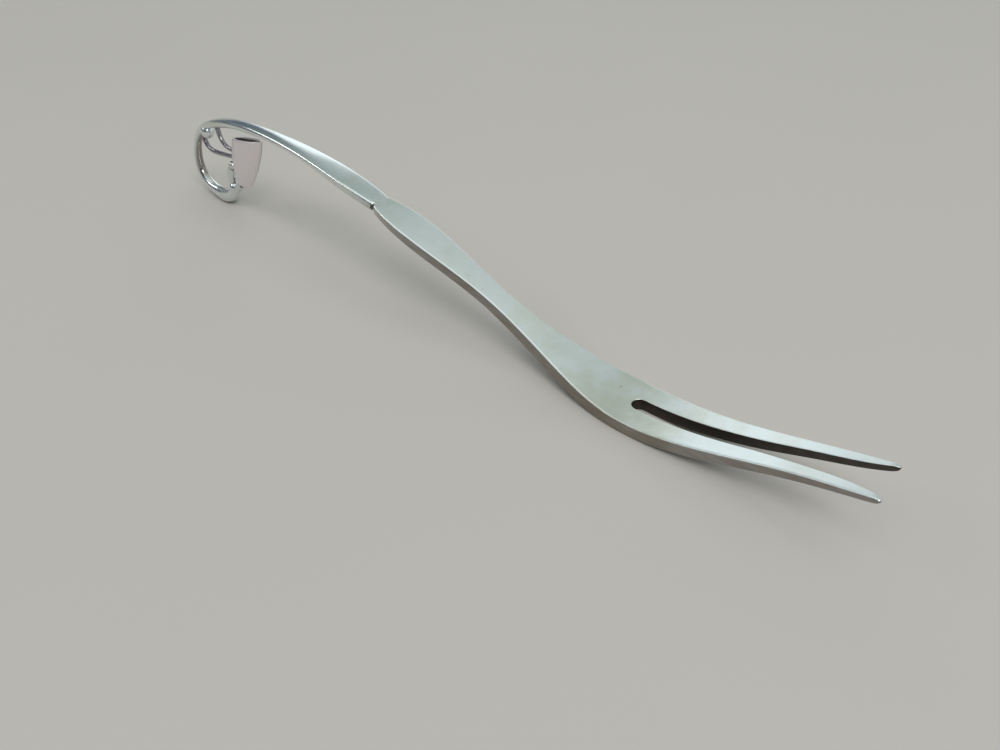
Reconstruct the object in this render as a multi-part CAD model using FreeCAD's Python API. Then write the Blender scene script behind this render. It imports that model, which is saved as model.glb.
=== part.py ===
"""Cocktail fork: one forged strip with two tines, a leaf-shaped swelling and a curled openwork end."""
import FreeCAD, Part
import math
import os

Vector = FreeCAD.Vector

# Lengths are millimetres. Heights are above the table, on the middle plane.
# A place on the strip is its distance behind the far tip or behind the place before it.

# Head and neck: outline seen from above
tip_spread = 7.4
tip_radius = 0.34
tip_taper = math.radians(21)
near_tip_reach = 0.7
waist_from_tips = 9.4
waist_width = 7.25
root_behind_waist = 12.2
root_width = 8.45
bowl_behind_root = 13.4
bowl_width = 9.5
shoulder_behind_bowl = 12.0
shoulder_width = 6.2
neck_behind_shoulder = 13.5
neck_width = 3.95
leaf_behind_neck = 17.7
leaf_width = 6.0
nick_behind_leaf = 8.1
nick_width = 3.7
nick_angle = math.radians(17)

# Slot between the tines: parallel at its root, wider half way out to the tips
slot_end_before_bowl = 0.95
slot_flare_before_root = 4.6
slot_width = 2.35
slot_waist_width = 3.25

# Side view: height of the upper face and thickness at the same places. Behind the shoulder a
# height is counted from the place before it.
tip_height = 8.65
tip_thickness = 0.8
waist_height = 6.45
waist_thickness = 1.2
root_height = 3.25
root_thickness = 1.65
bowl_thickness = 1.9
shoulder_height = 4.15
shoulder_thickness = 2.1
neck_above_shoulder = 4.45
neck_thickness = 1.75
leaf_above_neck = 5.35
leaf_thickness = 1.62
nick_above_leaf = 1.9
nick_thickness = 1.45
edge_bevel = 0.2

# Handle above the nicks: place, height of the upper face counted the same way, width and thickness
stem_behind_nick = 6.2
stem_above_nick = 1.4
stem_width = 4.5
stem_thickness = 1.6
rise_behind_stem = 11.5
rise_above_stem = 1.85
rise_width = 4.0
rise_thickness = 1.25
arch_behind_rise = 14.5
arch_above_rise = 0.9
arch_width = 3.15
arch_thickness = 1.4
fall_behind_arch = 10.5
fall_below_arch = 0.45
fall_width = 2.85
fall_thickness = 1.6
brow_behind_fall = 8.2
brow_below_fall = 1.6
brow_width = 2.45
brow_thickness = 1.85

# Crook: the strip drawn into a round wire and curled under, down to the table and up to the bud.
# From here on a place is behind the brow, and a depth is below the brow's upper face.
corner_behind = 6.7
corner_depth = 3.75
corner_width = 1.75
corner_thickness = 1.75
back_behind = 10.9
back_depth = 8.65
back_thickness = 1.65
heel_behind = 11.4
heel_height = 4.4
heel_thickness = 1.9
foot_behind = 6.0
foot_height = 1.39
foot_thickness = 2.3
ball_behind = 0.2
ball_height = 2.05
ball_thickness = 2.75
crook_end_behind_bud_foot = 0.5
crook_end_above_bud_foot = 0.4
crook_end_thickness = 2.1
crook_end_rise = math.radians(60)
brow_fullness = 3.4
corner_fullness = 2.2
wire_fullness = 2.0

# Bud: an oval cup beside the crook's end, leaning towards the tines
bud_foot_behind = -5.3
bud_foot_height = 5.9
bud_mouth_behind = -10.8
bud_mouth_depth = 1.65
bud_foot_width = 3.2
bud_foot_thickness = 1.7
bud_waist_width = 8.6
bud_waist_thickness = 3.0
bud_mouth_width = 10.4
bud_mouth_thickness = 2.8
bud_waist_share = 0.5
bud_mouth_rise = math.radians(9)
bud_foot_fall = math.radians(14)
bud_rim = 0.45
bud_depth = 4.0

# Tendrils: two thin wires bent from the crook to the back of the bud
tendril_thickness = 0.9
tendril_end_behind = -5.6
long_tendril_behind = 6.4
long_tendril_depth = 7.35
long_tendril_end_depth = 6.35
long_tendril_bend = 2.6
short_tendril_behind = -0.2
short_tendril_depth = 5.45
short_tendril_end_depth = 5.05
short_tendril_bend = 2.2

# Beads in the crook's corner and at its end, and a knob with a drop below it behind the bud
corner_bead_size = 2.7
corner_bead_behind = 4.2
corner_bead_depth = 3.2
end_bead_size = 2.1
end_bead_behind = -2.25
end_bead_height = 4.5
knob_size = 1.5
knob_behind = -2.75
knob_height = 9.3
drop_size = 1.4
drop_end_size = 0.7

# Bowl and crook are worn flat where they stand, up to one plane this high
standing_wear = 0.03

# The same places counted from the far tip, and their heights above the table
root_from_tips = waist_from_tips + root_behind_waist
bowl_from_tips = root_from_tips + bowl_behind_root
shoulder_from_tips = bowl_from_tips + shoulder_behind_bowl
neck_from_tips = shoulder_from_tips + neck_behind_shoulder
leaf_from_tips = neck_from_tips + leaf_behind_neck
nick_from_tips = leaf_from_tips + nick_behind_leaf
stem_from_tips = nick_from_tips + stem_behind_nick
rise_from_tips = stem_from_tips + rise_behind_stem
arch_from_tips = rise_from_tips + arch_behind_rise
fall_from_tips = arch_from_tips + fall_behind_arch
brow_from_tips = fall_from_tips + brow_behind_fall
neck_height = shoulder_height + neck_above_shoulder
leaf_height = neck_height + leaf_above_neck
nick_height = leaf_height + nick_above_leaf
stem_height = nick_height + stem_above_nick
rise_height = stem_height + rise_above_stem
arch_height = rise_height + arch_above_rise
fall_height = arch_height - fall_below_arch
brow_height = fall_height - brow_below_fall
slot_end_from_tips = bowl_from_tips - slot_end_before_bowl
slot_flare_from_tips = root_from_tips - slot_flare_before_root


def spline(points, start=None, end=None):
    """A smooth curve through the points, with its end directions where they are given."""
    curve = Part.BSplineCurve()
    if start and end:
        curve.interpolate(Points=points, InitialTangent=start, FinalTangent=end)
    else:
        curve.interpolate(Points=points)
    return curve


def place(from_tips, height):
    """A point on the middle plane of the fork."""
    return Vector(-from_tips, 0, height)


def behind(distance, height):
    """A point on the middle plane of the curled end, placed from the brow."""
    return place(brow_from_tips + distance, height)


def below(distance, depth):
    """A point on the middle plane of the curled end, placed from the brow and below its upper face."""
    return place(brow_from_tips + distance, brow_height - depth)


def ring(centre, across, outward, width, thickness, fullness):
    """A smooth closed wire: fullness 2 is an oval, and a higher fullness is a flat strip."""
    count = 12
    shares = [abs(math.cos(math.pi * (2 * k + 1) / count)) ** (2 / fullness) for k in (0, 1)]
    reach = (23 * shares[0] + shares[1]) / 24
    poles = []
    for step in range(count):
        turn = math.pi * (2 * step + 1) / count
        side = math.copysign(abs(math.cos(turn)) ** (2 / fullness), math.cos(turn)) / reach
        rise = math.copysign(abs(math.sin(turn)) ** (2 / fullness), math.sin(turn)) / reach
        poles.append(centre + across * (side * width / 2) + outward * (rise * thickness / 2))
    curve = Part.BSplineCurve()
    curve.buildFromPoles(poles, True, 3)
    return Part.Wire(curve.toShape())


def rod(stations, start, end):
    """A solid drawn along the middle plane through (point, width, thickness, fullness) stations."""
    path = Part.BSplineCurve()
    points = [station[0] for station in stations]
    path.interpolate(Points=points, InitialTangent=start, FinalTangent=end)
    across = Vector(0, 1, 0)
    sections = []
    for point, width, thickness, fullness in stations:
        outward = path.tangent(path.parameter(point))[0].cross(across).normalize()
        sections.append(ring(point, across, outward, width, thickness, fullness))
    return Part.makeLoft(sections, True, False)


def profile():
    """Upper points of the strip on the middle plane and its thickness there, tips to brow."""
    ahead = near_tip_reach + tip_radius
    rise = (tip_height - waist_height) / waist_from_tips
    return [
        (place(-ahead, tip_height + ahead * rise), tip_thickness),
        (place(waist_from_tips, waist_height), waist_thickness),
        (place(root_from_tips, root_height), root_thickness),
        (place(bowl_from_tips, bowl_thickness), bowl_thickness),
        (place(shoulder_from_tips, shoulder_height), shoulder_thickness),
        (place(neck_from_tips, neck_height), neck_thickness),
        (place(leaf_from_tips, leaf_height), leaf_thickness),
        (place(nick_from_tips, nick_height), nick_thickness),
        (place(stem_from_tips, stem_height), stem_thickness),
        (place(rise_from_tips, rise_height), rise_thickness),
        (place(arch_from_tips, arch_height), arch_thickness),
        (place(fall_from_tips, fall_height), fall_thickness),
        (place(brow_from_tips, brow_height), brow_thickness),
    ]


def side_curves():
    """The upper face and the underside seen from the side, one thickness apart at each point."""
    stations = profile()
    upper = spline([point for point, thickness in stations])
    under = []
    for point, thickness in stations:
        along = upper.tangent(upper.parameter(point))[0]
        under.append(point + along.cross(Vector(0, 1, 0)).normalize() * thickness)
    return upper, spline(under)


def side_face():
    """The strip seen from the side, from the brow to a little way past the tips."""
    upper, lower = side_curves()
    edges = [upper.toShape(), lower.toShape()]
    edges.append(Part.LineSegment(upper.StartPoint, lower.StartPoint).toShape())
    edges.append(Part.LineSegment(upper.EndPoint, lower.EndPoint).toShape())
    return Part.Face(Part.Wire(Part.__sortEdges__(edges)))


def outline_face():
    """The strip seen from above: handle, nicks, leaf, neck, bowl and two tines round a slot."""
    far = half_outline(1)
    near = half_outline(-1)
    edges = [piece.toShape() for piece in far + near]
    slot_corner = far[-1].EndPoint
    other_corner = near[-1].EndPoint
    edges.append(Part.Arc(slot_corner, Vector(-slot_end_from_tips, 0, 0), other_corner).toShape())
    edges.append(Part.LineSegment(far[0].StartPoint, near[0].StartPoint).toShape())
    return Part.Face(Part.Wire(Part.__sortEdges__(edges)))


def half_outline(side):
    """One side of the outline, from the brow round the tine's tip and back to the end of the slot."""
    forward = Vector(1, 0, 0)
    reach = near_tip_reach if side < 0 else 0.0
    centre = Vector(reach - tip_radius, side * (tip_spread / 2 - tip_radius), 0)
    outer_touch = centre + Vector(0, side * tip_radius, 0)
    inner_touch = centre + Vector(math.sin(tip_taper), -side * math.cos(tip_taper), 0) * tip_radius
    tip = centre + Vector(math.cos(tip_taper / 2), math.sin(tip_taper / 2) * side, 0) * tip_radius
    handle = [
        Vector(-brow_from_tips - brow_thickness, side * brow_width / 2, 0),
        Vector(-fall_from_tips, side * fall_width / 2, 0),
        Vector(-arch_from_tips, side * arch_width / 2, 0),
        Vector(-rise_from_tips, side * rise_width / 2, 0),
        Vector(-stem_from_tips, side * stem_width / 2, 0),
        Vector(-nick_from_tips, side * nick_width / 2, 0),
    ]
    head = [
        Vector(-nick_from_tips, side * nick_width / 2, 0),
        Vector(-leaf_from_tips, side * leaf_width / 2, 0),
        Vector(-neck_from_tips, side * neck_width / 2, 0),
        Vector(-shoulder_from_tips, side * shoulder_width / 2, 0),
        Vector(-bowl_from_tips, side * bowl_width / 2, 0),
        Vector(-root_from_tips, side * root_width / 2, 0),
        Vector(-waist_from_tips, side * waist_width / 2, 0),
        outer_touch,
    ]
    leaf_start = Vector(math.cos(nick_angle), side * math.sin(nick_angle), 0)
    slot_start = Vector(-slot_flare_from_tips, side * slot_width / 2, 0)
    slot_corner = Vector(slot_width / 2 - slot_end_from_tips, side * slot_width / 2, 0)
    gap = [inner_touch, Vector(-slot_flare_from_tips / 2, side * slot_waist_width / 2, 0), slot_start]
    inward = Vector(-math.cos(tip_taper), -side * math.sin(tip_taper), 0)
    return [
        spline(handle),
        spline(head, start=leaf_start, end=forward),
        Part.Arc(outer_touch, tip, inner_touch),
        spline(gap, start=inward, end=forward * -1),
        Part.LineSegment(slot_start, slot_corner),
    ]


def strip():
    """Handle, leaf, bowl and tines in one: the outline seen from above, cut to the side view."""
    reach = bowl_width + arch_height
    side = side_face()
    side.translate(Vector(0, -reach, 0))
    band = side.extrude(Vector(0, 2 * reach, 0))
    outline = outline_face()
    outline.translate(Vector(0, 0, -reach))
    blank = outline.extrude(Vector(0, 0, 3 * reach)).common(band)
    return eased(blank)


def eased(blank):
    """The strip with its long edges bevelled; the upright ones and the cut at the brow stay.

    A bevel that comes out crossing itself is made again a hair smaller.
    """
    edges = []
    for edge in blank.Edges:
        half_way = (edge.FirstParameter + edge.LastParameter) / 2
        upright = abs(edge.tangentAt(half_way).z) > 0.9
        at_brow = edge.valueAt(half_way).x < -brow_from_tips + brow_thickness / 4
        if not upright and not at_brow:
            edges.append(edge)
    for hair in (0, 0.001, 0.003, 0.007):
        solid = blank.makeChamfer(edge_bevel - hair, edges).Solids[0]
        if solid.isValid():
            break
    return solid


def crook():
    """The end of the strip drawn into a round wire, curled under and up into the bud's foot."""
    upper, lower = side_curves()
    brow = (upper.EndPoint + lower.EndPoint) / 2
    end = behind(
        bud_foot_behind + crook_end_behind_bud_foot,
        bud_foot_height + crook_end_above_bud_foot,
    )
    round_stations = [
        (below(back_behind, back_depth), back_thickness),
        (behind(heel_behind, heel_height), heel_thickness),
        (behind(foot_behind, foot_height), foot_thickness),
        (behind(ball_behind, ball_height), ball_thickness),
        (end, crook_end_thickness),
    ]
    stations = [
        (brow, brow_width, brow_thickness, brow_fullness),
        (below(corner_behind, corner_depth), corner_width, corner_thickness, corner_fullness),
    ]
    for point, thickness in round_stations:
        stations.append((point, thickness, thickness, wire_fullness))
    start = upper.tangent(upper.LastParameter)[0]
    upward = Vector(math.cos(crook_end_rise), 0, math.sin(crook_end_rise))
    return rod(stations, start=start, end=upward)


def bud():
    """An oval cup on the crook's end, hollow at its mouth."""
    foot = behind(bud_foot_behind, bud_foot_height)
    mouth = below(bud_mouth_behind, bud_mouth_depth)
    waist = foot + (mouth - foot) * bud_waist_share
    floor = mouth + (foot - mouth).normalize() * bud_depth
    rise = bud_mouth_rise
    waist_rise = rise * bud_waist_share - bud_foot_fall * (1 - bud_waist_share)
    outside = [
        oval(foot, bud_foot_width, bud_foot_thickness, -bud_foot_fall),
        oval(waist, bud_waist_width, bud_waist_thickness, waist_rise),
        oval(mouth, bud_mouth_width, bud_mouth_thickness, rise),
    ]
    inside = [
        oval(floor, bud_waist_width - 2 * bud_rim, bud_rim, rise),
        oval(mouth, bud_mouth_width - 2 * bud_rim, bud_mouth_thickness - 2 * bud_rim, rise),
    ]
    return Part.makeLoft(outside, True, False).cut(Part.makeLoft(inside, True, False))


def oval(centre, width, thickness, rise):
    """An ellipse across the fork, its long axis in the middle plane and rising by an angle."""
    along = Vector(math.cos(rise), 0, math.sin(rise))
    end = centre + along * (width / 2)
    side = centre + Vector(0, thickness / 2, 0)
    return Part.Wire(Part.Ellipse(end, side, centre).toShape())


def tendrils():
    """Two thin wires from the crook to the back of the bud."""
    long_one = bent_wire(
        below(corner_behind, corner_depth),
        below(long_tendril_behind, long_tendril_depth),
        below(tendril_end_behind, long_tendril_end_depth),
        long_tendril_bend,
        tendril_thickness,
    )
    short_one = bent_wire(
        below(0, brow_thickness / 2),
        below(short_tendril_behind, short_tendril_depth),
        below(tendril_end_behind, short_tendril_end_depth),
        short_tendril_bend,
        tendril_thickness,
    )
    return [long_one, short_one]


def bent_wire(start, corner, end, bend, thickness):
    """A round wire from start to end, bent once near the corner."""
    to_start = (start - corner).normalize()
    to_end = (end - corner).normalize()
    half = to_start.getAngle(to_end) / 2
    first = corner + to_start * (bend / math.tan(half))
    last = corner + to_end * (bend / math.tan(half))
    apex = corner + (to_start + to_end).normalize() * (bend / math.sin(half) - bend)
    path = Part.Wire(
        [
            Part.LineSegment(start, first).toShape(),
            Part.Arc(first, apex, last).toShape(),
            Part.LineSegment(last, end).toShape(),
        ]
    )
    section = Part.Wire(Part.Circle(start, corner - start, thickness / 2).toShape())
    return path.makePipeShell([section], True, True)


def beads():
    """A bead in the crook's corner, one at its end, and a knob behind the bud."""
    return [
        Part.makeSphere(corner_bead_size / 2, below(corner_bead_behind, corner_bead_depth)),
        Part.makeSphere(end_bead_size / 2, behind(end_bead_behind, end_bead_height)),
        Part.makeSphere(knob_size / 2, behind(knob_behind, knob_height)),
    ]


def drop():
    """A turned drop from the knob down to the end bead, thickest half way."""
    top = behind(knob_behind, knob_height)
    low = behind(end_bead_behind, end_bead_height)
    axis = (low - top).normalize()
    across = axis.cross(Vector(0, 1, 0))
    side = Part.Arc(
        top + across * (drop_end_size / 2),
        (top + low) / 2 + across * (drop_size / 2),
        low + across * (drop_end_size / 2),
    )
    edges = [
        side.toShape(),
        Part.LineSegment(side.EndPoint, low).toShape(),
        Part.LineSegment(low, top).toShape(),
        Part.LineSegment(top, side.StartPoint).toShape(),
    ]
    return Part.Face(Part.Wire(edges)).revolve(top, axis, 360)


def worn(body):
    """The fork with bowl and crook worn flat to one plane where they stand."""
    box = body.BoundBox
    corner = Vector(box.XMin, box.YMin, box.ZMin)
    lost = Part.makeBox(box.XLength, box.YLength, standing_wear - box.ZMin, corner)
    return body.cut(lost).Solids[0]


def cocktail_fork():
    """The whole fork as one solid, standing on its bowl and crook, centred over the origin."""
    body = strip().fuse(crook())
    for piece in [bud(), drop()] + tendrils() + beads():
        body = body.fuse(piece)
    fork = worn(body.Solids[0])
    box = fork.optimalBoundingBox(True, False)
    fork.translate(Vector(-box.Center.x, -box.Center.y, -box.ZMin))
    return fork


if __name__ == "__main__":
    os.makedirs("parts", exist_ok=True)
    cocktail_fork().exportStep("parts/cocktail_fork.step")
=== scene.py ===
import math

import bmesh
import bpy
import numpy as np
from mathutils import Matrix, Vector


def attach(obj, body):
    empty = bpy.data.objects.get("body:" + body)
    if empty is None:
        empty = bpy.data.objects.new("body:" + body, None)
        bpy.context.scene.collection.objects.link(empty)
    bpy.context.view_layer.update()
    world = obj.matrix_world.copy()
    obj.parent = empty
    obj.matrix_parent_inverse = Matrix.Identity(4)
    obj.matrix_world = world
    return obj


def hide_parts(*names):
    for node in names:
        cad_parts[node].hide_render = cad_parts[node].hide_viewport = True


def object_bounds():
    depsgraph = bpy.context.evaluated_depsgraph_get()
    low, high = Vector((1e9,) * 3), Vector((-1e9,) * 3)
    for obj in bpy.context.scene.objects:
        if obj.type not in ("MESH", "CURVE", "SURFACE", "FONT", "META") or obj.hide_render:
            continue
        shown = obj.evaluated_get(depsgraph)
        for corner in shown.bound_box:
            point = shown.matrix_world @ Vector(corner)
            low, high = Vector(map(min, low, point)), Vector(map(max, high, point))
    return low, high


bl_info = {
    "name": "Cocktail Fork",
    "version": (1, 0, 0),
    "blender": (4, 5, 0),
    "location": "3D View > Sidebar > Fork",
    "description": "Builds a two-tined silver fork with a curled openwork end, and a plain studio",
    "category": "Add Mesh",
}

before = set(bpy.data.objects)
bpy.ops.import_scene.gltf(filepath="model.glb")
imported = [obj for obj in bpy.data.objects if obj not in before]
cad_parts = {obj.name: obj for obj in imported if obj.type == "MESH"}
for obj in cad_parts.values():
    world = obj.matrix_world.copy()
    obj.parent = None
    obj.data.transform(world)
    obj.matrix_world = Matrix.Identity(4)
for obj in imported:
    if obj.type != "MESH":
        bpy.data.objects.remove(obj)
CAD_BOX = [list(corner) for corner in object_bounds()]
MM = 0.001

# The upper face on the middle plane, in mm: place back from the far tip, height above the table,
# thickness
SIDE_VIEW = np.array(
    [
        (-1.04, 8.893, 0.8),
        (9.4, 6.45, 1.2),
        (21.6, 3.25, 1.65),
        (35.0, 1.9, 1.9),
        (47.0, 4.15, 2.1),
        (60.5, 8.6, 1.75),
        (78.2, 13.95, 1.62),
        (86.3, 15.85, 1.45),
        (92.5, 17.25, 1.6),
        (104.0, 19.1, 1.25),
        (118.5, 20.0, 1.4),
        (129.0, 19.55, 1.6),
        (137.2, 17.95, 1.6),
    ]
)

# The outline of the head seen from above, in mm: place back from the far tip, width
HEAD_OUTLINE = np.array(
    [(86.3, 3.7), (78.2, 6.0), (60.5, 3.95), (47.0, 6.2), (35.0, 9.5), (21.6, 8.45), (9.4, 7.25)]
)

# The handle from the nicks to the brow, at the side view's last points, in mm: width, rounding of
# its corners, and how far the edges of its upper face lie below the middle
HANDLE_SECTIONS = np.array(
    [
        (3.7, 0.4, 0.02),
        (4.5, 0.4, 0.06),
        (4.0, 0.38, 0.16),
        (3.15, 0.4, 0.30),
        (2.85, 0.5, 0.34),
        (2.45, 0.75, 0.16),
    ]
)

# The crook below the brow, in mm: place back from the far tip, height of the wire's centre, width,
# thickness
CROOK = np.array(
    [
        (144.0, 14.3, 1.75, 1.5),
        (148.1, 9.3, 1.65, 1.65),
        (148.6, 4.4, 1.9, 1.9),
        (143.2, 1.39, 2.3, 2.3),
        (137.4, 2.05, 2.75, 2.75),
        (134.8, 3.95, 1.6, 1.6),
        (132.4, 6.3, 2.1, 2.1),
    ]
)

# The direction in which the crook ends, under the bud's foot
CROOK_END = (0.5, 0.87)

# The tendrils in the middle plane, in mm: where they leave the crook, bend and meet the bud
TENDRILS = {
    "long_tendril": [
        (-144.0, 14.1),
        (-144.0, 12.6),
        (-143.25, 11.3),
        (-141.5, 10.6),
        (-138.0, 10.7),
        (-131.6, 11.5),
    ],
    "short_tendril": [
        (-137.3, 17.0),
        (-137.25, 15.4),
        (-136.6, 13.9),
        (-135.3, 13.0),
        (-133.6, 12.7),
        (-131.6, 12.8),
    ],
}

# The bud, in mm: centres of its foot and mouth in the middle plane, and its long and short sizes at
# foot, waist and mouth
BUD_FOOT = np.array([-130.95, 6.5])
BUD_MOUTH = np.array([-126.4, 16.3])
BUD_OVALS = [(4.4, 2.3), (8.7, 3.1), (10.4, 2.8)]

# How far the bud's domed bottom and its lip stand beyond foot and mouth, in mm
BUD_DOME = 0.8
BUD_LIP = 0.15

# Balls in the middle plane, in mm: place and size
BEADS = {
    "corner_bead": ((-141.8, 14.4), 2.75),
    "end_bead": ((-135.35, 4.15), 2.4),
    "knob": ((-134.3, 9.2), 1.7),
}

# The drop's middle line from the knob to the end bead, in the middle plane, in mm
DROP = [(-134.7, 9.0), (-135.5, 6.9), (-135.3, 4.8)]

# Painted reflection: tints of pieces that differ from the rest, standing in for what they reflect,
# lilac on the bud and dark purple on the tendrils: colour of the tint, and how much of it shows
REFLECTION_TINTS = {
    "satin_bud_painted_reflection": ((0.90, 0.82, 0.85), 0.8),
    "tendrils_painted_dark": ((0.20, 0.17, 0.21), 0.75),
}

# How much duller than the handle the bud is, as roughness
BUD_SATIN = 0.16

# Joints round which painted shade darkens the gaps, in mm: place in the middle plane and reach
SHADED_JOINTS = [
    (-143.9, 13.9, 0.6),
    (-139.4, 15.6, 0.9),
    (-137.4, 16.3, 0.8),
    (-131.9, 11.6, 1.3),
    (-132.0, 12.9, 1.0),
    (-134.6, 8.6, 0.9),
    (-134.2, 10.1, 0.8),
    (-135.2, 5.4, 0.8),
    (-133.9, 5.4, 0.9),
    (-131.6, 5.4, 1.3),
]

# Height of the upper face at the nicks, in mm
NICK_HEIGHT = 15.2

# Where the rounding of the head's long edges changes from the bowl's to the neck's, in mm
ROUNDING_PLACES = [30, 50, 75]

# The largest share of its room that a rounded edge takes, on the head and on the handle
MOST_ROUNDING = 0.92
ALMOST_HALF = 0.499

# Share of the thickness by which each face closes at a tine's very end
TIP_PINCH = 0.44

# The handle's start inside the head: places before the nicks and share of its width there, and how
# far past the nicks its sections lean over from upright, in mm
INSIDE_HEAD = [-0.6, -0.3]
INSIDE_WIDTH = 0.97
UPRIGHT_LENGTH = 3

# Numbers of faces down a wall, round a wire or ball, and round the bud
WALL_STEPS = 4
ROUND_STEPS = 24
BUD_STEPS = 48

# Points nearer than this are merged, in metres, and edges sharper than this stay sharp, in degrees
MERGE_DISTANCE = 2e-7
SHARP_ANGLE = 50

# Where the finish and the painted reflections change along the fork, from and to, in metres in
# the row's frame
HEAD_STARTS = (-0.02, 0.0)
BOWL_STARTS = (0.02, 0.034)
ROOT_STARTS = (0.027, 0.040)
ROOT_ENDS = (0.045, 0.06)
LOOP_ENDS = (-0.0705, -0.067)

# How much of a normal points up where a wall ends and a face begins
WALL_TO_FACE = (0.25, 0.75)

# Depths of the fine relief, as shares of the bump's distance, and that distance in mm
RUBBED_DEPTH = 0.02
GRAIN_DEPTH = 0.004
SCRATCH_DEPTH = 0.006
PIT_DEPTH = 0.03
RELIEF_DISTANCE = 0.3

# What the silver reflects: colours of the sky
HORIZON = (0.66, 0.65, 0.62, 1)
LOW_DARK = (0.13, 0.17, 0.215, 1)
LOW_BRIGHT = (0.82, 0.88, 0.92, 1)
FAR_HIGH = (0.42, 0.50, 0.48, 1)
NEAR_LOW = (0.13, 0.15, 0.19, 1)
NEAR_HIGH = (0.34, 0.40, 0.40, 1)
ZENITH = (0.12, 0.14, 0.14, 1)

# The floor reaches this far each way, in metres, and its faint clouds have this colour
FLOOR_REACH = 3.0
FLOOR_CLOUD = (0.4, 0.38, 0.36, 1)

# The camera: place in mm from the far tip and above the table, turn in degrees, sensor in mm
CAMERA_PLACE = [17.85, -76.6, 72.88]
CAMERA_TURN = (53.986, 1.480, 44.344)
SENSOR_WIDTH = 36

# Outputs of the Texture Coordinate node
GENERATED, NORMAL, OBJECT = 0, 1, 3


class Curve:
    """A cubic curve through points, with steady bending: its second derivative has no jumps.

    The parameter is the length of the chords from point to point, unless knots are given. An end
    takes the direction given for it, or else that of the parabola through its three nearest
    points.
    """

    def __init__(self, points, start=None, end=None, knots=None):
        self.points = np.asarray(points, float)
        if knots is None:
            steps = np.linalg.norm(np.diff(self.points, axis=0), axis=1)
            knots = np.concatenate([[0.0], np.cumsum(steps)])
        self.knots = np.asarray(knots, float)
        h = np.diff(self.knots)
        rise = np.diff(self.points, axis=0) / h[:, None]
        count = len(self.knots)
        matrix = np.zeros((count, count))
        right = np.zeros_like(self.points)
        middle = np.arange(1, count - 1)
        matrix[middle, middle - 1] = 1 / h[:-1]
        matrix[middle, middle] = 2 / h[:-1] + 2 / h[1:]
        matrix[middle, middle + 1] = 1 / h[1:]
        right[1:-1] = 3 * (rise[:-1] / h[:-1, None] + rise[1:] / h[1:, None])
        matrix[0, 0] = matrix[-1, -1] = 1
        bend = (rise[1] - rise[0]) / (h[0] + h[1])
        right[0] = rise[0] - bend * h[0] if start is None else start
        bend = (rise[-1] - rise[-2]) / (h[-1] + h[-2])
        right[-1] = rise[-1] + bend * h[-1] if end is None else end
        self.slopes = np.linalg.solve(matrix, right)

    def _span(self, where):
        where = np.asarray(where, float)
        index = np.searchsorted(self.knots, where, side="right") - 1
        index = np.clip(index, 0, len(self.knots) - 2)
        h = (self.knots[index + 1] - self.knots[index])[:, None]
        return index, h, (where - self.knots[index])[:, None] / h

    def at(self, where):
        """Points of the curve at the parameters."""
        index, h, t = self._span(where)
        start, end = self.points[index], self.points[index + 1]
        leave, arrive = self.slopes[index] * h, self.slopes[index + 1] * h
        return (
            start * (1 + 2 * t) * (1 - t) ** 2
            + leave * t * (1 - t) ** 2
            + end * t * t * (3 - 2 * t)
            - arrive * t * t * (1 - t)
        )

    def along(self, where):
        """Unit directions of the curve at the parameters."""
        step = (self.knots[-1] - self.knots[0]) * 1e-5
        way = self.at(np.asarray(where) + step) - self.at(np.asarray(where) - step)
        return way / np.linalg.norm(way, axis=1, keepdims=True)

    def spread(self, count):
        """Parameters evenly spaced from end to end."""
        return np.linspace(self.knots[0], self.knots[-1], count)


def round_turn(steps):
    """Angles of a full turn, as one row."""
    return np.linspace(0, 2 * math.pi, steps + 1)[None, :-1]


def side_curves():
    """The strip's upper face, and its underside one thickness below along the face's normal."""
    places = np.column_stack([-SIDE_VIEW[:, 0], SIDE_VIEW[:, 1]])
    upper = Curve(places)
    along = upper.along(upper.knots)
    down = np.column_stack([-along[:, 1], along[:, 0]])
    lower = Curve(places + down * SIDE_VIEW[:, 2:3])
    return upper, lower


def heights_at(curve, back):
    """Heights of a side curve at distances back from the far tip."""
    fine = curve.at(curve.spread(4000))
    return np.interp(back, -fine[:, 0], fine[:, 1])


def head_half_widths(back, shape, ahead):
    """Half widths of the head's outline and of its slot, at distances back from the far tip.

    Behind the tips both follow curves through their widths. At a tip they close on an arc, and the
    slot ends in a half circle. The tip lies ahead of the far tip by the distance given.
    """
    radius = shape.tip_radius
    centre = shape.tip_spread / 2 - radius
    leaf = math.radians(shape.nick_angle)
    taper = math.radians(shape.tip_taper)
    outline = np.vstack([HEAD_OUTLINE * [-1, 0.5], [(ahead - radius, shape.tip_spread / 2)]])
    outer = Curve(outline, start=(math.cos(leaf), math.sin(leaf)), end=(1, 0))
    outer = outer.at(outer.spread(3000))
    touch = (ahead - radius + radius * math.sin(taper), centre - radius * math.cos(taper))
    flare = shape.slot_flare
    gap = Curve(
        [touch, (-flare / 2, shape.slot_waist / 2), (-flare, shape.slot_width / 2)],
        start=(-math.cos(taper), -math.sin(taper)),
        end=(-1, 0),
    )
    gap = gap.at(gap.spread(1000))
    y_out = np.interp(back, -outer[::-1, 0], outer[::-1, 1])
    y_in = np.interp(back, -gap[:, 0], gap[:, 1])
    tip = np.sqrt(np.clip(radius**2 - (radius - ahead - back) ** 2, 0, None))
    y_out = np.where(back < radius - ahead, centre + tip, y_out)
    y_in = np.where(back < -touch[0], centre - tip, y_in)
    root = shape.slot_end - shape.slot_width / 2
    past = np.clip(back - root, 0, shape.slot_width / 2)
    y_in = np.where(back > root, np.sqrt((shape.slot_width / 2) ** 2 - past**2), y_in)
    return y_out, np.where(back >= shape.slot_end, 0.0, y_in)


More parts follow.
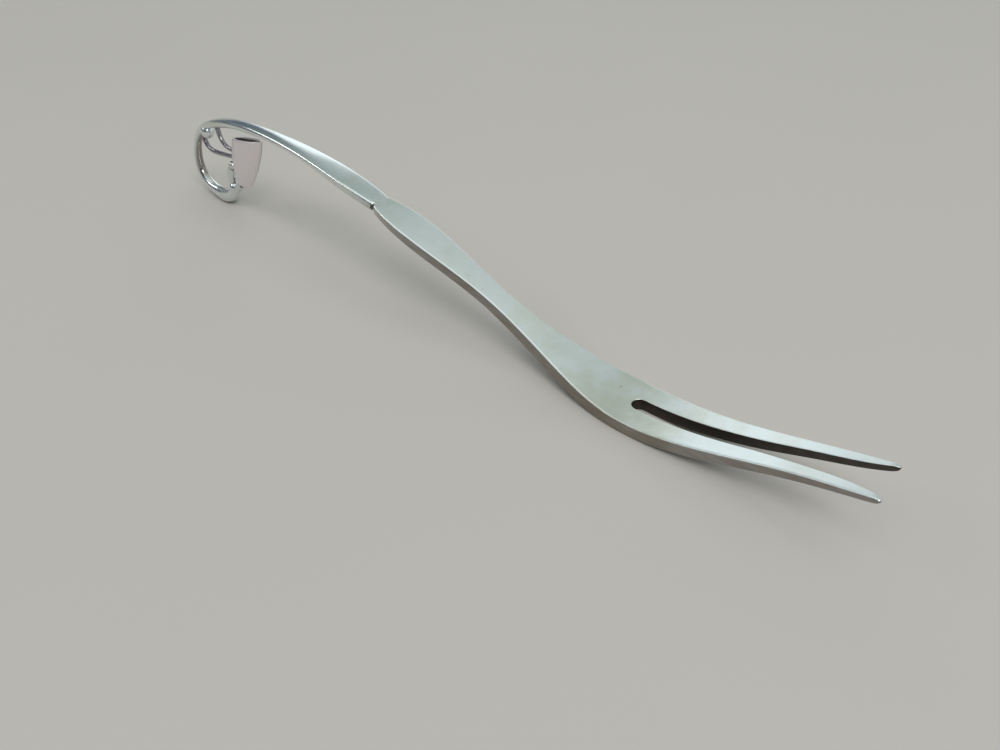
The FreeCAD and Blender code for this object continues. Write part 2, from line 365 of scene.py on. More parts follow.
def head_surface(shape, side):
    """One side of leaf, bowl and tine: rows run back from the tip, columns run round the section.

    Each section is upright. It starts at the slot or the middle plane, goes out over the upper
    face, down the outer wall, in under the bowl and up the slot's wall. Corners are quarter
    circles, crisper at the slot. At the slot's round end the face drops by its distance from the
    slot's edge, and near a tip both faces close on an arc.
    """
    ahead = shape.near_reach if side < 0 else 0.0
    radius = shape.tip_radius
    half_slot = shape.slot_width / 2
    root = shape.slot_end - half_slot
    nick = HEAD_OUTLINE[0, 0]
    # The rows, closest together where the outline or the section changes fast
    turn = np.linspace(0, math.pi / 2, 9)
    tip = radius * (1 - np.cos(turn)) - ahead
    tine = np.linspace(radius - ahead, root, 76)[1:-1]
    slot_round = root + half_slot * np.sin(turn)
    past_slot = shape.slot_end + np.array([0.07, 0.14, 0.21, 0.3, 0.45, 0.7])
    leaf = np.linspace(shape.slot_end + 1, nick - 1.5, 96)
    at_nick = nick - np.linspace(1.4, 0, 15)
    back = np.concatenate([tip, tine, slot_round, past_slot, leaf, at_nick])

    upper, lower = side_curves()
    top, bottom = heights_at(upper, back), heights_at(lower, back)
    closing = 1 - np.sqrt(1 - (1 - np.clip((back + ahead) / shape.tip_length, 0, 1)) ** 2)
    pinch = closing * (top - bottom) * TIP_PINCH
    top, bottom = top - pinch, bottom + pinch
    y_out, y_in = head_half_widths(back, shape, ahead)

    room = np.minimum(top - bottom, np.where(y_in > 0, y_out - y_in, y_out)) / 2
    edges = [shape.edge_rounding, shape.neck_rounding, shape.neck_rounding]
    edges = np.interp(back, ROUNDING_PLACES, edges)
    rounding = np.minimum(edges, MOST_ROUNDING * room)[:, None]
    crisp = np.minimum(shape.slot_rounding, MOST_ROUNDING * room)[:, None]
    quarter = np.linspace(0, math.pi / 2, 6)[None, :]
    spread = (1 - np.cos(np.linspace(0, math.pi, 12)))[None, 1:-1] / 2
    levels = np.linspace(0, 1, WALL_STEPS + 1)[None, 1:-1]

    inner, outer = y_in[:, None], y_out[:, None]
    near, far = inner + crisp, outer - rounding
    in_arc = inner + crisp * (1 - np.cos(quarter))
    out_arc = far + rounding * np.sin(quarter)
    across = near + (far - near) * spread
    outer_wall, inner_wall = outer + 0 * levels, inner + 0 * levels
    over = [in_arc, across, out_arc, outer_wall]
    under = [out_arc[:, ::-1], across[:, ::-1], in_arc[:, ::-1], inner_wall]
    y = np.hstack(over + under)

    rise, fall = top[:, None], bottom[:, None]
    edge = rounding * (1 - np.cos(quarter))
    from_root = np.hypot(back[:, None] - root, np.hstack([in_arc, across])) - half_slot
    from_wall = np.hstack([in_arc, across]) - inner
    reach = np.clip(np.where(back[:, None] > root, from_root, from_wall), 0, crisp)
    drop = crisp - np.sqrt(crisp**2 - (crisp - reach) ** 2)
    wall = (rise - rounding) + (fall - rise + 2 * rounding) * levels
    slot_wall = (fall + crisp) + (rise - fall - 2 * crisp) * levels
    over = [rise - drop, rise - edge, wall]
    under = [fall + edge[:, ::-1], fall + drop[:, ::-1], slot_wall]
    z = np.hstack(over + under)

    x = np.repeat(-back[:, None], y.shape[1], axis=1)
    points = np.stack([x, side * y, z], axis=2)
    return notched(points, shape), int(np.sum(back < shape.slot_end)) + 1


def notched(points, shape):
    """Points with both edges pressed in at the nicks, by a bell curve of the way along the fork."""
    bell = np.exp(-(((points[..., 0] + HEAD_OUTLINE[0, 0]) / shape.nick_length) ** 2))
    half = HEAD_OUTLINE[0, 1] / 2
    near = np.clip(-points[..., 1] / half, 0, 1) ** 2 * shape.near_nick
    far = np.clip(points[..., 1] / half, 0, 1) ** 2 * shape.far_nick
    moved = points.copy()
    moved[..., 1] += bell * (near - far)
    return moved


def rounded_section(width, thickness, rounding, crown):
    """Sections of a strip as offsets across it and out of it, one row for each size.

    A section is a rectangle with quarter-circle corners, so a round one has rounding at half its
    size. Its outer and inner faces fall away from the middle by the crown times the square of the
    place across.
    """
    rounding = np.minimum(rounding, ALMOST_HALF * np.minimum(width, thickness - 2 * crown))
    quarter = np.linspace(0, math.pi / 2, 7)
    flat = np.linspace(-1, 1, 9)[1:-1]
    side = np.linspace(-1, 1, 5)[1:-1]
    w, t, r = (value[:, None] for value in (width / 2, thickness / 2 - crown, rounding))
    across = np.hstack(
        [
            w - r + r * np.cos(quarter),
            -flat * (w - r),
            -(w - r) - r * np.sin(quarter),
            -w + 0 * side,
            -(w - r) - r * np.cos(quarter),
            flat * (w - r),
            w - r + r * np.sin(quarter),
            w + 0 * side,
        ]
    )
    out = np.hstack(
        [
            t - r + r * np.sin(quarter),
            t + 0 * flat,
            t - r + r * np.cos(quarter),
            -side * (t - r),
            -(t - r) - r * np.sin(quarter),
            -t + 0 * flat,
            -(t - r) - r * np.cos(quarter),
            side * (t - r),
        ]
    )
    bulge = crown[:, None] * (1 - (across / w) ** 2)
    return across, out + bulge * np.clip(out / t, -1, 1)


def swept(path, where, across, out, upright=None):
    """Sections carried along a path in the middle plane: across is sideways, out along its normal.

    Where upright is 1 a section stands straight up instead, stretched to keep its faces in line.
    """
    centre = path.at(where)
    along = path.along(where)
    normal = np.column_stack([along[:, 1], -along[:, 0]])
    if upright is not None:
        leaning = normal * (1 - upright[:, None]) + np.array([0.0, 1.0]) * upright[:, None]
        leaning /= np.linalg.norm(leaning, axis=1, keepdims=True)
        normal = leaning / np.sum(leaning * normal, axis=1, keepdims=True)
    x = centre[:, :1] + normal[:, :1] * out
    z = centre[:, 1:] + normal[:, 1:] * out
    return np.stack([x, across, z], axis=2)


def handle_surface(shape):
    """The handle from the nicks over the arch to the brow, and the crook down to the bud's foot.

    Its path runs half way between the side view's curves and then along the crook. Width,
    thickness, rounding and crown are cubic curves of the place on the path. It starts a little
    narrower inside the head, upright, and leans over to the path's normal past the nicks.
    """
    upper, lower = side_curves()
    first = len(SIDE_VIEW) - len(HANDLE_SECTIONS)
    middle = (upper.points[first:] + lower.points[first:]) / 2
    wire = CROOK * [-1, 1, 1, 1]
    start = upper.along(upper.knots[first : first + 1])[0]
    path = Curve(np.vstack([middle, wire[:, :2]]), start=start, end=CROOK_END)
    thickness = np.concatenate([SIDE_VIEW[first:, 2], wire[:, 3]])
    width = np.concatenate([HANDLE_SECTIONS[:, 0], wire[:, 2]])
    rounding = np.concatenate([HANDLE_SECTIONS[:, 1], wire[:, 3] / 2])
    crown = np.concatenate([HANDLE_SECTIONS[:, 2], np.zeros(len(wire))])
    # Inside the head, close together past the nicks, and evenly on to the end
    where = np.concatenate([INSIDE_HEAD, np.linspace(0, 1.5, 16), path.spread(280)[6:]])
    sizes = Curve(np.column_stack([width, thickness, rounding, crown]), knots=path.knots).at(where)
    across, out = rounded_section(*sizes.T)
    surface = swept(path, where, across, out, np.clip(1 - where / UPRIGHT_LENGTH, 0, 1))
    surface[where < 0, :, 1] *= INSIDE_WIDTH
    return notched(surface, shape)


def wire_surface(points, thickness):
    """A round wire through points in the middle plane, tapering evenly between two thicknesses."""
    path = Curve(points)
    where = path.spread(60)
    radius = np.linspace(*thickness, len(where))[:, None] / 2
    turn = round_turn(ROUND_STEPS)
    return swept(path, where, radius * np.cos(turn), radius * np.sin(turn))


def bud_surface(shape):
    """The bud: ovals on a leaning axis, up from a domed bottom to the lip and down the hollow.

    An oval's centre goes from foot to mouth. Its long axis lies in the middle plane and turns from
    the foot's fall to the mouth's rise. Its sizes follow the parabola through foot, waist and
    mouth. Toward the dome's pole they shrink as a sine, over the lip they draw in on half a
    circle, and in the hollow they stay in by the rim and close on an arc at its end.
    """
    sizes = Curve(BUD_OVALS, knots=[0.0, 0.5, 1.0])
    rim = shape.bud_rim
    dome = np.linspace(0, math.pi / 2, 7)[:-1]
    wall = np.linspace(0, 1, 50)
    lip = np.linspace(0, math.pi, 7)[1:-1]
    hollow = np.linspace(1, shape.bud_floor, 16)
    floor = 1 - np.sqrt(1 - np.linspace(0, 1, len(hollow)) ** 2)
    none, full = np.zeros_like, np.ones_like
    parts = [  # share of the way up, swelling, inset, closing, lift
        (none(dome), np.sin(dome), none(dome), none(dome), -BUD_DOME * np.cos(dome)),
        (wall, full(wall), none(wall), none(wall), none(wall)),
        (full(lip), full(lip), rim / 2 * (1 - np.cos(lip)), none(lip), BUD_LIP * np.sin(lip)),
        (hollow, full(hollow), rim * full(hollow), floor, none(hollow)),
    ]
    share, swell, inset, closing, lift = (np.concatenate(column) for column in zip(*parts))
    half = sizes.at(share) / 2
    a = (half[:, 0] - inset) * swell * (1 - closing)
    b = (half[:, 1] - inset) * swell * (1 - closing)
    tilt = np.radians(shape.bud_rise * share - shape.bud_fall * (1 - share))[:, None]
    axis = (BUD_MOUTH - BUD_FOOT) / np.linalg.norm(BUD_MOUTH - BUD_FOOT)
    centre = BUD_FOOT + (BUD_MOUTH - BUD_FOOT) * share[:, None] + axis * lift[:, None]
    turn = round_turn(BUD_STEPS)
    x = centre[:, :1] + a[:, None] * np.cos(turn) * np.cos(tilt)
    z = centre[:, 1:] + a[:, None] * np.cos(turn) * np.sin(tilt)
    return np.stack([x, b[:, None] * np.sin(turn), z], axis=2)


def ball_surface(centre, size):
    """A ball: circles of latitude from pole to pole."""
    rise = np.linspace(-math.pi / 2, math.pi / 2, 17)[:, None]
    turn = round_turn(ROUND_STEPS)
    x = centre[0] + size / 2 * np.cos(rise) * np.cos(turn)
    y = size / 2 * np.cos(rise) * np.sin(turn)
    z = centre[1] + size / 2 * np.sin(rise) + 0 * turn
    return np.stack([x, y, z], axis=2)


def drop_surface(shape):
    """A turned drop on its middle line: its radius is a parabola through ends and middle."""
    path = Curve(DROP)
    share = np.linspace(0, 1, 24)
    bulge = 1 - (2 * share - 1) ** 2
    radius = shape.drop_end / 2 + (shape.drop_size - shape.drop_end) / 2 * bulge
    radius = radius[:, None]
    turn = round_turn(ROUND_STEPS)
    return swept(path, path.spread(len(share)), radius * np.cos(turn), radius * np.sin(turn))


def quads(rows, columns):
    """Corner numbers of the faces of a grid of points, its columns joined round."""
    row = np.arange(rows - 1)[:, None]
    column = np.arange(columns)[None, :]
    next_column = (column + 1) % columns
    corners = [
        row * columns + column,
        row * columns + next_column,
        (row + 1) * columns + next_column,
        (row + 1) * columns + column,
    ]
    return np.stack(np.broadcast_arrays(*corners), axis=2).reshape(-1, 4)


def to_row(points, shape):
    """Metres in the row's frame, from millimetres counted from the far tip and above the table.

    The near tine ends at the far end of the CAD box, and the arch touches its top.
    """
    upper = side_curves()[0]
    shift = CAD_BOX[1][0] - shape.near_reach * MM
    lift = CAD_BOX[1][2] - upper.at(upper.spread(2000))[:, 1].max() * MM
    return points * MM + np.array([shift, 0, lift])


def add_piece(name, points, faces, shape, finish="forged_silver"):
    """A smooth closed silver piece from grid points in millimetres, worn flat where it stands."""
    flat = to_row(points.reshape(-1, 3), shape)
    flat[:, 2] = np.maximum(flat[:, 2], CAD_BOX[0][2])
    mesh = bpy.data.meshes.new(name)
    mesh.from_pydata(flat.tolist(), [], faces.tolist())
    made = bmesh.new()
    made.from_mesh(mesh)
    bmesh.ops.remove_doubles(made, verts=made.verts, dist=MERGE_DISTANCE)
    rims = [edge for edge in made.edges if edge.is_boundary]
    if rims:
        bmesh.ops.holes_fill(made, edges=rims)
    bmesh.ops.recalc_face_normals(made, faces=made.faces)
    made.to_mesh(mesh)
    made.free()
    mesh.shade_smooth()
    mesh.set_sharp_from_angle(angle=math.radians(SHARP_ANGLE))
    piece = bpy.data.objects.new(name, mesh)
    bpy.context.scene.collection.objects.link(piece)
    mesh.materials.append(old_silver(finish, bpy.context.scene.fork_silver, shape))
    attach(piece, "root")
    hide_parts("cocktail_fork")


class Value:
    """A socket in an expression: arithmetic on it adds Math nodes."""

    def __init__(self, tree, socket):
        self.tree = tree
        self.socket = socket

    def _math(self, operation, *inputs):
        return self.tree.add("ShaderNodeMath", {"operation": operation}, dict(enumerate(inputs)))[0]

    def __add__(self, other):
        return self._math("ADD", self, other)

    __radd__ = __add__

    def __mul__(self, other):
        return self._math("MULTIPLY", self, other)

    __rmul__ = __mul__

    def __sub__(self, other):
        return self._math("SUBTRACT", self, other)

    def __rsub__(self, other):
        return self._math("SUBTRACT", other, self)

    def __abs__(self):
        return self._math("ABSOLUTE", self)

    def sign(self):
        """-1 below zero and 1 above it."""
        return self._math("SIGN", self)

    def above(self, low, high):
        """0 below low, 1 above high, and a smooth step between them."""
        settings = {"interpolation_type": "SMOOTHSTEP"}
        inputs = {"Value": self, "From Min": low, "From Max": high}
        return self.tree.add("ShaderNodeMapRange", settings, inputs)[0]

    def split(self):
        """The three parts of a vector."""
        return self.tree.add("ShaderNodeSeparateXYZ", {}, {"Vector": self})


class Tree:
    """The nodes of a material or of the world, added by type, settings and sockets."""

    def __init__(self, owner):
        owner.use_nodes = True
        self.nodes = owner.node_tree.nodes
        self.links = owner.node_tree.links
        self.nodes.clear()

    def add(self, kind, settings=None, inputs=None):
        """A new node. Returns its outputs as values for expressions."""
        node = self.nodes.new(kind)
        for key, value in (settings or {}).items():
            setattr(node, key, value)
        for key, value in (inputs or {}).items():
            if isinstance(value, Value):
                self.links.new(value.socket, node.inputs[key])
            else:
                node.inputs[key].default_value = value
        return [Value(self, socket) for socket in node.outputs if socket.enabled]

    def mix(self, share, first, second):
        """A colour between two colours, which the node has on its sockets 6 and 7."""
        inputs = {0: share, 6: first, 7: second}
        return self.add("ShaderNodeMix", {"data_type": "RGBA"}, inputs)[0]

    def noise(self, where, size, detail=2.0, rough=0.5):
        """Soft noise from 0 to 1, with lumps of about this size in millimetres."""
        inputs = {"Vector": where, "Scale": 1 / (size * MM), "Detail": detail, "Roughness": rough}
        return self.add("ShaderNodeTexNoise", {}, inputs)[0]

    def stretched(self, where, scale, turn=(0, 0, 0)):
        """Coordinates turned and scaled, for patterns longer one way than the other."""
        inputs = {"Vector": where, "Scale": scale, "Rotation": turn}
        return self.add("ShaderNodeMapping", {}, inputs)[0]

    def near(self, where, point, reach):
        """1 round a point, fading to 0 between a third of its reach and all of it, in metres."""
        inputs = {0: where, 1: point}
        away = self.add("ShaderNodeVectorMath", {"operation": "DISTANCE"}, inputs)[0]
        return 1 - away.above(0.35 * reach, reach)


def old_silver(finish, look, shape):
    """Old forged silver: satin on the head, brighter on the curled end, thinly tarnished.

    Soft dents and lengthwise rubbing bend the light, hairlines and pits break the surface, and dark
    tarnish stays in the slot, where a cloth does not reach. A brown painted reflection of the floor
    darkens the strip's sides, the inside of the loop and the bud's far edge, painted shade darkens
    the gaps round the joints and at the near nick, and the bud and the tendrils take tints painted
    to stand in for what they reflect.
    """
    if finish in bpy.data.materials:
        return bpy.data.materials[finish]
    material = bpy.data.materials.new(finish)
    tree = Tree(material)
    coordinates = tree.add("ShaderNodeTexCoord")
    facing, where = coordinates[NORMAL], coordinates[OBJECT]
    along, across = where.split()[:2]
    lengthwise, sideways, upward = facing.split()

    dents = tree.noise(where, size=9.0, detail=1.0)
    cloud = tree.noise(where, size=11.0, detail=4.0, rough=0.62)
    blotch = tree.noise(where, size=3.2, detail=3.0, rough=0.6)
    grain = tree.noise(where, size=0.3)
    rubbed = tree.noise(tree.stretched(where, (0.1, 1, 1)), size=0.45, detail=3.0)
    hairlines = tree.stretched(where, (0.04, 1, 1), turn=(0, 0, 0.18))
    hairlines = tree.noise(hairlines, size=0.22, detail=1.0).above(0.69, 0.73)
    crossing = tree.stretched(where, (1, 0.05, 1), turn=(0, 0, 0.5))
    crossing = tree.noise(crossing, size=0.2, detail=1.0).above(0.72, 0.76)
    pits = tree.noise(where, size=0.8, detail=1.0).above(0.785, 0.82)
    worn = tree.noise(where, size=1.6, detail=3.0, rough=0.65)

    # The slot's long walls face the middle plane, and its round end lies close to it
    head = along.above(*HEAD_STARTS)
    side = 1 - abs(upward).above(*WALL_TO_FACE)
    slot = (across.sign() * sideways * -1).above(0.25, 0.7) * along.above(*BOWL_STARTS) * side
    round_end = to_row(np.array([-shape.slot_end, 0, 0]), shape)[0]
    inside = 1 - abs(across).above(1.15 * MM, 1.3 * MM)
    inside = inside * (1 - along.above(round_end + 2 * MM, round_end + 3 * MM))
    inside = side * inside * along.above(round_end - 1 * MM, round_end - 0.1 * MM)
    slot = slot + inside * (1 - slot)

    # Painted shade: dark round the joints between wires, balls and bud, and in the near nick's gap
    joints = 0
    for x, z, reach in SHADED_JOINTS:
        point = to_row(np.array([x, 0, z]), shape)
        joints = joints + tree.near(where, tuple(point), reach * MM)
    nick = np.array([-HEAD_OUTLINE[0, 0] - 0.05, -HEAD_OUTLINE[0, 1] / 2, NICK_HEIGHT])
    nick = tree.near(where, tuple(to_row(nick, shape)), shape.near_nick * 1.4 * MM)
    crevice_shade = (joints * (0.45 + 0.8 * worn) + nick * 1.6).above(0.15, 0.95)

    silver, thin, brown, dark = (
        (*colour, 1)
        for colour in (look.silver_colour, look.tarnish_colour, look.floor_reflection_colour, look.dark_colour)
    )
    root = along.above(*ROOT_STARTS) * (1 - along.above(*ROOT_ENDS))
    film = (cloud * 0.7 + blotch * 0.3 + root * 0.08).above(0.42, 0.68)
    colour = tree.mix(film * (look.tarnish + root * 0.35), silver, thin)
    # Painted reflection: the loop's inner wall, facing the tips, turns brown for the floor it
    # reflects
    loop = lengthwise.above(0.15, 0.75) * (1 - along.above(*LOOP_ENDS))
    colour = tree.mix(loop * 0.75, colour, brown)
    # Painted reflection: the bud's lilac tint and the tendrils' dark purple tint
    if finish in REFLECTION_TINTS:
        tint, share = REFLECTION_TINTS[finish]
        colour = tree.mix(share + (blotch - 0.5) * 0.3, colour, (*tint, 1))
    # Painted reflection: the bud's far edge turns brown for the floor it reflects there
    if finish == "satin_bud_painted_reflection":
        far_edge_reflection = (lengthwise * 0.47 + sideways * 0.88).above(0.5, 0.95)
        colour = tree.mix(far_edge_reflection * 0.8, colour, brown)
    # Painted reflection: the head's side walls darken toward brown, standing in for the brown floor
    # they reflect
    side_reflection = side * head * (0.55 + 0.6 * (rubbed * 0.5 + cloud * 0.5)) * look.side_reflection_amount
    colour = tree.mix(side_reflection, colour, brown)
    colour = tree.mix(pits * 0.6 + crossing * 0.12, colour, dark)
    slot_film = slot * (0.8 + 0.25 * worn) * look.slot_tarnish
    colour = tree.mix(slot_film, colour, dark)
    # Painted shade at the joints and the near nick
    colour = tree.mix(crevice_shade * look.joint_shade, colour, dark)

    roughness = look.polish * (1 - head) + look.roughness * head
    if finish == "satin_bud_painted_reflection":
        roughness = roughness + BUD_SATIN
    roughness = roughness + (cloud - 0.5) * 0.10 + (rubbed - 0.5) * 0.10
    roughness = roughness + hairlines * 0.07 + crevice_shade * 0.2 + slot_film * 0.2
    height = dents * look.dents + rubbed * RUBBED_DEPTH + grain * GRAIN_DEPTH
    height = height - hairlines * SCRATCH_DEPTH - crossing * SCRATCH_DEPTH - pits * PIT_DEPTH
    bump = {"Strength": look.relief, "Distance": RELIEF_DISTANCE * MM, "Height": height}
    normal = tree.add("ShaderNodeBump", {}, bump)[0]
    inputs = {"Base Color": colour, "Metallic": 1.0, "Roughness": roughness, "Normal": normal}
    shader = tree.add("ShaderNodeBsdfPrincipled", {}, inputs)[0]
    tree.add("ShaderNodeOutputMaterial", {}, {"Surface": shader})
    return material


def plain_floor(look):
    """A matt pale floor with a faint unevenness of colour."""
    material = bpy.data.materials.new("plain_floor")
    tree = Tree(material)
    where = tree.add("ShaderNodeTexCoord")[OBJECT]
    cloud = tree.noise(where, size=90.0, detail=3.0).above(0.3, 0.7)
    colour = tree.mix(cloud * 0.05, (*look.floor_colour, 1), FLOOR_CLOUD)
    inputs = {"Base Color": colour, "Roughness": 0.85}
    shader = tree.add("ShaderNodeBsdfPrincipled", {}, inputs)[0]
    tree.add("ShaderNodeOutputMaterial", {}, {"Surface": shader})
    return material


def colour_setting(name, description, default):
    """A colour property."""
    return bpy.props.FloatVectorProperty(
        name=name, description=description, subtype="COLOR", default=default, min=0, max=1
    )


def share_setting(name, description, default):
    """A property from 0 to 1."""
    return bpy.props.FloatProperty(
        name=name, description=description, subtype="FACTOR", default=default, min=0, max=1
    )


def amount_setting(name, description, default):
    """A number that is not negative."""
    return bpy.props.FloatProperty(name=name, description=description, default=default, min=0)


def size_setting(name, description, default):
    """A size in millimetres."""
    return amount_setting(name, description + ", mm", default)


def angle_setting(name, description, default):
    """An angle in degrees."""
    return bpy.props.FloatProperty(
        name=name, description=description + ", degrees", default=default
    )


class ForkShape(bpy.types.PropertyGroup):
    """Sizes of the fork in millimetres and degrees."""

    edge_rounding: size_setting("Edge rounding", "Radius of the long edges of tines and bowl", 0.26)
    neck_rounding: size_setting("Neck rounding", "Radius of the long edges of neck and leaf", 0.3)
    slot_rounding: size_setting("Slot rounding", "Radius of the edges of the slot", 0.12)
    tip_length: size_setting("Tip length", "How far back from its end a tine is rounded off", 0.8)
    near_reach: size_setting("Near reach", "How far the near tip lies ahead of the far one", 0.7)
    tip_spread: size_setting("Tip spread", "Width over both tine tips", 7.4)
    tip_radius: size_setting("Tip radius", "Radius of a tine's tip seen from above", 0.34)
    tip_taper: angle_setting("Tip taper", "Angle at which a tine's inner edge meets its tip", 21.0)
    nick_angle: angle_setting("Nick angle", "Angle at which the leaf widens from the nicks", 17.0)
    nick_length: size_setting("Nick length", "Length of a nick along the fork", 0.3)
    near_nick: size_setting("Near nick", "Depth of the nick in the near edge", 0.5)
    far_nick: size_setting("Far nick", "Depth of the nick in the far edge", 0.1)
    slot_width: size_setting("Slot width", "Width of the slot at its root", 2.35)
    slot_end: size_setting("Slot end", "Distance from the far tip to the end of the slot", 34.05)
    slot_flare: size_setting("Slot flare", "Distance from the far tip to where it widens", 17.0)
    slot_waist: size_setting("Slot waist", "Width of the slot half way along its flare", 3.25)
    bud_rim: size_setting("Bud rim", "Thickness of the bud's rim", 0.65)
    bud_floor: share_setting("Bud floor", "Where the hollow ends, from foot to mouth", 0.66)
    bud_rise: angle_setting("Bud rise", "Tilt of the bud's mouth", 9.0)
    bud_fall: angle_setting("Bud fall", "Tilt of the bud's foot the other way", 8.0)
    tendril: size_setting("Tendril", "Thickness of a tendril where it leaves the crook", 1.0)
    tendril_end: size_setting("Tendril end", "Thickness of a tendril where it meets the bud", 0.8)
    drop_size: size_setting("Drop size", "Largest thickness of the drop", 2.0)
    drop_end: size_setting("Drop end", "Thickness of the drop at its ends", 0.8)


class SilverLook(bpy.types.PropertyGroup):
    """Colours and finish of the silver."""

    silver_colour: colour_setting("Silver", "Colour of clean silver", (0.78, 0.83, 0.82))
    tarnish_colour: colour_setting("Tarnish", "Colour of thin tarnish", (0.60, 0.61, 0.49))
    # Painted reflection: a brown that stands in for the floor, on the sides, inside the loop and on
    # the bud's far edge
    floor_reflection_colour: colour_setting(
        "Side reflection", "Colour of the floor painted as reflected in the strip's sides", (0.20, 0.16, 0.13)
    )
    # Also the colour of the painted shade at the joints and the near nick
    dark_colour: colour_setting(
        "Dark tarnish and shade", "Colour of the tarnish in the slot, and of the painted shade at the joints", (0.045, 0.037, 0.033)
    )
    tarnish: share_setting("Tarnish amount", "How much thin tarnish shows", 0.42)
    # Painted reflection of the floor on the head's side walls
    side_reflection_amount: share_setting("Side reflection amount", "How much painted floor reflection the sides show", 0.92)
    slot_tarnish: share_setting("Slot tarnish amount", "How much tarnish the slot shows", 0.9)
    # Painted shade at the joints and the near nick
    joint_shade: share_setting("Joint shade amount", "How much painted shade the joints show", 0.85)
    roughness: share_setting("Head roughness", "Mean roughness of leaf, bowl and tines", 0.34)
    polish: share_setting("Handle roughness", "Mean roughness of handle and curled end", 0.22)
    relief: share_setting("Relief", "Strength of the dents and scratches", 0.5)
    dents: share_setting("Dents", "Depth of the soft dents", 0.8)


class StageLook(bpy.types.PropertyGroup):
    """The studio: floor, lamps, sky and camera."""

    floor_colour: colour_setting("Floor", "Colour of the floor", (0.53, 0.50, 0.465))
    lamp_power: amount_setting("Lamp power", "Share of each lamp's own power", 1.0)
    sky_strength: amount_setting("Sky strength", "Strength of the light from all round", 0.75)
    lens: amount_setting("Lens", "Focal length on a sensor 36 mm wide, mm", 30.24)


class FORK_OT_head(bpy.types.Operator):
    """Build leaf, bowl and tines"""

    bl_idname = "fork.head"
    bl_label = "Head and tines"

    def execute(self, context):
        shape = context.scene.fork_shape
        points, faces = [], []
        for side in (1, -1):
            half, open_rows = head_surface(shape, side)
            rows, columns = half.shape[:2]
            ring = quads(rows, columns)
            row, column = np.divmod(ring[:, 0], columns)
            # Past the slot the two sides meet on the middle plane, with no wall between them
            middle_wall = (column >= columns - WALL_STEPS) & (row >= open_rows - 1)
            faces.append(ring[~middle_wall] + sum(len(part) for part in points))
            points.append(half.reshape(-1, 3))
        add_piece("head", np.vstack(points), np.vstack(faces), shape)
        return {"FINISHED"}


class FORK_OT_handle(bpy.types.Operator):
    """Build the handle and the crook"""

    bl_idname = "fork.handle"
    bl_label = "Handle and crook"

    def execute(self, context):
        shape = context.scene.fork_shape
        surface = handle_surface(shape)
        add_piece("handle", surface, quads(*surface.shape[:2]), shape)
        return {"FINISHED"}


class FORK_OT_bud(bpy.types.Operator):
    """Build the bud"""

    bl_idname = "fork.bud"
    bl_label = "Bud"

    def execute(self, context):
        shape = context.scene.fork_shape
        surface = bud_surface(shape)
        add_piece("bud", surface, quads(*surface.shape[:2]), shape, "satin_bud_painted_reflection")
        return {"FINISHED"}


class FORK_OT_tendrils(bpy.types.Operator):
    """Build the two tendrils"""

    bl_idname = "fork.tendrils"
    bl_label = "Tendrils"

    def execute(self, context):
        shape = context.scene.fork_shape
        for name, points in TENDRILS.items():
            surface = wire_surface(points, (shape.tendril, shape.tendril_end))
            add_piece(name, surface, quads(*surface.shape[:2]), shape, "tendrils_painted_dark")
        return {"FINISHED"}


class FORK_OT_beads(bpy.types.Operator):
    """Build the beads, the knob and the drop"""

    bl_idname = "fork.beads"
    bl_label = "Beads and drop"

    def execute(self, context):
        shape = context.scene.fork_shape
        for name, (centre, size) in BEADS.items():
            surface = ball_surface(centre, size)
            add_piece(name, surface, quads(*surface.shape[:2]), shape)
        surface = drop_surface(shape)
        add_piece("drop", surface, quads(*surface.shape[:2]), shape)
        return {"FINISHED"}


def add_floor(look):
    """A level square under the fork."""
    reach = FLOOR_REACH
    mesh = bpy.data.meshes.new("floor")
    corners = [(-reach, -reach, 0), (reach, -reach, 0), (reach, reach, 0), (-reach, reach, 0)]
    mesh.from_pydata(corners, [], [(0, 1, 2, 3)])
    mesh.materials.append(plain_floor(look))
    floor = bpy.data.objects.new("floor", mesh)
    bpy.context.scene.collection.objects.link(floor)


def add_lamp(name, place, size, power, colour):
    """A large soft lamp of this width and height that looks at the origin."""
    data = bpy.data.lights.new(name, "AREA")
    data.shape = "RECTANGLE"
    data.size, data.size_y = size
    data.energy = power
    data.color = colour
    lamp = bpy.data.objects.new(name, data)
    bpy.context.scene.collection.objects.link(lamp)
    lamp.location = place
    x, y, z = place
    lamp.rotation_euler = (math.atan2(math.hypot(x, y), z), 0, math.atan2(x, -y))


def add_lamps(look):
    """A window, a long lamp in front, a key lamp, and wide even light from the ceiling."""
    power = look.lamp_power
    cool, warm, white = (0.93, 0.98, 1.0), (1.0, 0.99, 0.97), (1.0, 1.0, 1.0)
    add_lamp("window", (-0.785, 0.936, 0.445), (0.9, 0.45), 0.85 * power, cool)
    ceiling = bpy.data.lights.new("ceiling", "SUN")
    ceiling.energy = 0.85 * power
    ceiling.angle = math.radians(70)
    bpy.context.scene.collection.objects.link(bpy.data.objects.new("ceiling", ceiling))
    add_lamp("front", (-0.95, -0.58, 0.76), (0.9, 0.14), 2.2 * power, warm)
    add_lamp("key", (0.85, -0.40, 0.95), (0.65, 0.5), 7.0 * power, white)


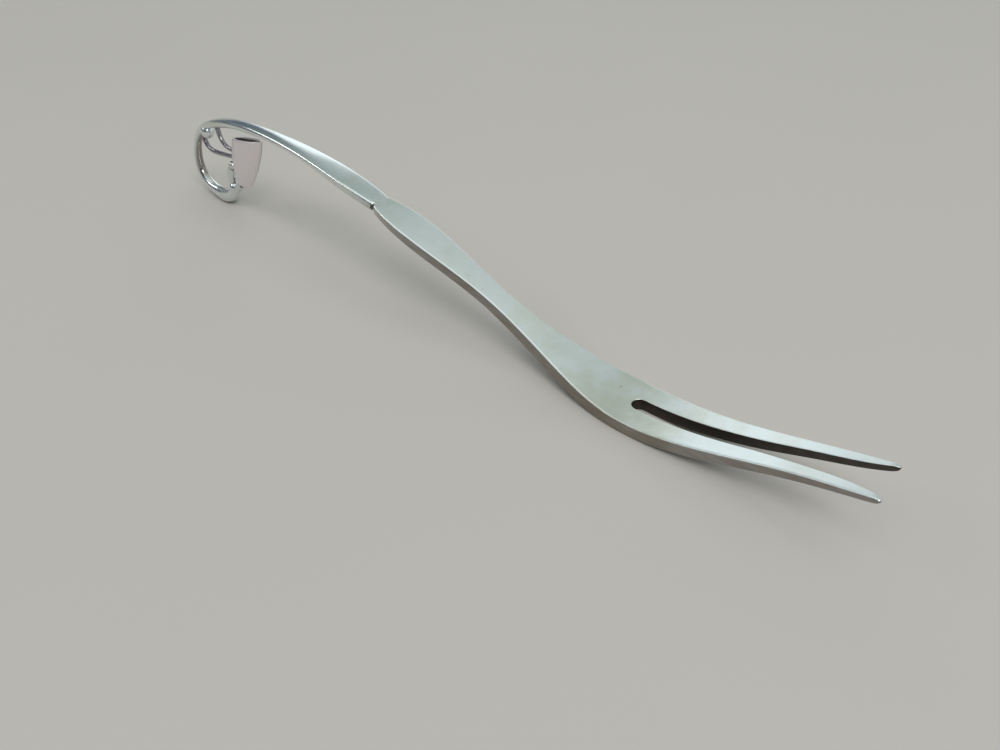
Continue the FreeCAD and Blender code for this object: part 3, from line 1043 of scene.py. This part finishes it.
def add_sky(look):
    """The world that the silver reflects, by direction.

    A pale horizon, above it dark or, on the window's side, bright, then a soft grey that is greener
    on the far side and darker on the near side, and dark again straight above.
    """
    world = bpy.data.worlds.new("studio")
    bpy.context.scene.world = world
    tree = Tree(world)
    x, y, height = tree.add("ShaderNodeTexCoord")[GENERATED].split()
    low = tree.mix((x + y - height * 0.35).above(-0.53, -0.37), LOW_DARK, LOW_BRIGHT)
    far = tree.mix(height.above(0.42, 0.68), low, FAR_HIGH)
    near = tree.mix(height.above(0.5, 0.9), NEAR_LOW, NEAR_HIGH)
    sky = tree.mix(y.above(-0.3, 0.15), near, far)
    sky = tree.mix(height.above(0.88, 0.96), sky, ZENITH)
    sky = tree.mix(height.above(0.08, 0.15), HORIZON, sky)
    inputs = {"Color": sky, "Strength": look.sky_strength}
    shine = tree.add("ShaderNodeBackground", {}, inputs)[0]
    tree.add("ShaderNodeOutputWorld", {}, {"Surface": shine})


def add_camera(look, shape):
    """The camera, above the table on the near side and beyond the tips."""
    camera = bpy.data.cameras.new("camera")
    camera.lens = look.lens
    camera.sensor_width = SENSOR_WIDTH
    camera.clip_start = 0.005
    eye = bpy.data.objects.new("camera", camera)
    bpy.context.scene.collection.objects.link(eye)
    eye.location = to_row(np.array(CAMERA_PLACE), shape)
    eye.rotation_euler = tuple(math.radians(angle) for angle in CAMERA_TURN)
    bpy.context.scene.camera = eye


class FORK_OT_stage(bpy.types.Operator):
    """Build the floor, the lamps, the world and the camera"""

    bl_idname = "fork.stage"
    bl_label = "Stage"

    def execute(self, context):
        look = context.scene.fork_stage
        add_floor(look)
        add_lamps(look)
        add_sky(look)
        add_camera(look, context.scene.fork_shape)
        context.scene.view_settings.view_transform = "Standard"
        return {"FINISHED"}


STEPS = [FORK_OT_head, FORK_OT_handle, FORK_OT_bud, FORK_OT_tendrils, FORK_OT_beads, FORK_OT_stage]
GROUPS = {"fork_shape": ForkShape, "fork_silver": SilverLook, "fork_stage": StageLook}


class FORK_PT_panel(bpy.types.Panel):
    """Lists the fork's sizes, its look and its pieces"""

    bl_idname = "FORK_PT_panel"
    bl_label = "Cocktail fork"
    bl_space_type = "VIEW_3D"
    bl_region_type = "UI"
    bl_category = "Fork"

    def draw(self, context):
        for group, kind in GROUPS.items():
            for name in kind.__annotations__:
                self.layout.prop(getattr(context.scene, group), name)
        for step in STEPS:
            self.layout.operator(step.bl_idname)


CLASSES = [*GROUPS.values(), *STEPS, FORK_PT_panel]


def register():
    for made in CLASSES:
        bpy.utils.register_class(made)
    for group, kind in GROUPS.items():
        setattr(bpy.types.Scene, group, bpy.props.PointerProperty(type=kind))


def unregister():
    for group in GROUPS:
        delattr(bpy.types.Scene, group)
    for made in reversed(CLASSES):
        bpy.utils.unregister_class(made)


def main():
    """Build everything."""
    register()
    bpy.ops.fork.head()
    bpy.ops.fork.handle()
    bpy.ops.fork.bud()
    bpy.ops.fork.tendrils()
    bpy.ops.fork.beads()
    bpy.ops.fork.stage()


if __name__ == "__main__":
    main()
